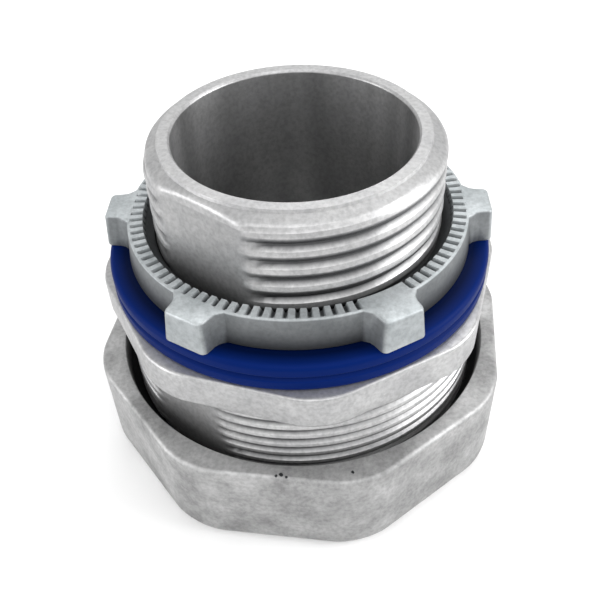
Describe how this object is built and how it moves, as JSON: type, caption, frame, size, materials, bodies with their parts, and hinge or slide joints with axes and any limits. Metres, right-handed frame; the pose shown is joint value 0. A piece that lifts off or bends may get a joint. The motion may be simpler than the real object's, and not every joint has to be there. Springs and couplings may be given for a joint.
{
  "type": "conduit compression connector",
  "caption": "Die-cast zinc compression connector for rigid conduit: threaded hub with locknut and blue gasket, octagonal collar and compression nut.",
  "frame": {"origin": "centre of the bottom face of the compression nut, on the conduit axis", "axes": "+Z along the conduit axis from the compression nut to the hub; -Y is the side the picture was taken from"},
  "size_m": [0.0514, 0.0514, 0.0415],
  "materials": {
    "body_zinc": "die-cast zinc alloy, as cast, machined thread crests",
    "nut_zinc": "die-cast zinc alloy, tumbled, matt and mottled",
    "locknut_zinc": "die-cast zinc alloy, as cast",
    "gasket_blue": "moulded flexible vinyl, deep blue, satin",
    "seal_rubber": "moulded nitrile rubber, black",
    "plated_steel": "zinc-plated pressed steel"
  },
  "bodies": {
    "connector_body": {"connector_body": "body_zinc"},
    "sealing_gasket": {"sealing_gasket": "gasket_blue"},
    "locknut": {"locknut": "locknut_zinc"},
    "grip_ring": {"grip_ring": "plated_steel"},
    "compression_nut": {"compression_nut": "nut_zinc", "sealing_ring": "seal_rubber", "slip_washer": "plated_steel"}
  },
  "joints": [
    {"name": "locknut_turn", "type": "hinge", "parent": "connector_body", "child": "sealing_gasket", "pos_m": [0, 0, 0.0279], "axis": [0, 0, 1], "range_deg": [0, 1800]},
    {"name": "locknut_travel", "type": "slide", "parent": "sealing_gasket", "child": "locknut", "axis": [0, 0, 1], "range_m": [0, 0.01106]},
    {"name": "nut_turn", "type": "hinge", "parent": "connector_body", "child": "grip_ring", "pos_m": [0, 0, 0.0066], "axis": [0, 0, -1], "range_deg": [0, 900]},
    {"name": "nut_travel", "type": "slide", "parent": "grip_ring", "child": "compression_nut", "axis": [0, 0, -1], "range_m": [0, 0.00377]}
  ],
  "couplings": [
    {"joint": "locknut_travel", "follows": "locknut_turn", "m_per_rad": 0.00035152},
    {"joint": "nut_travel", "follows": "nut_turn", "m_per_rad": 0.00023873}
  ]
}
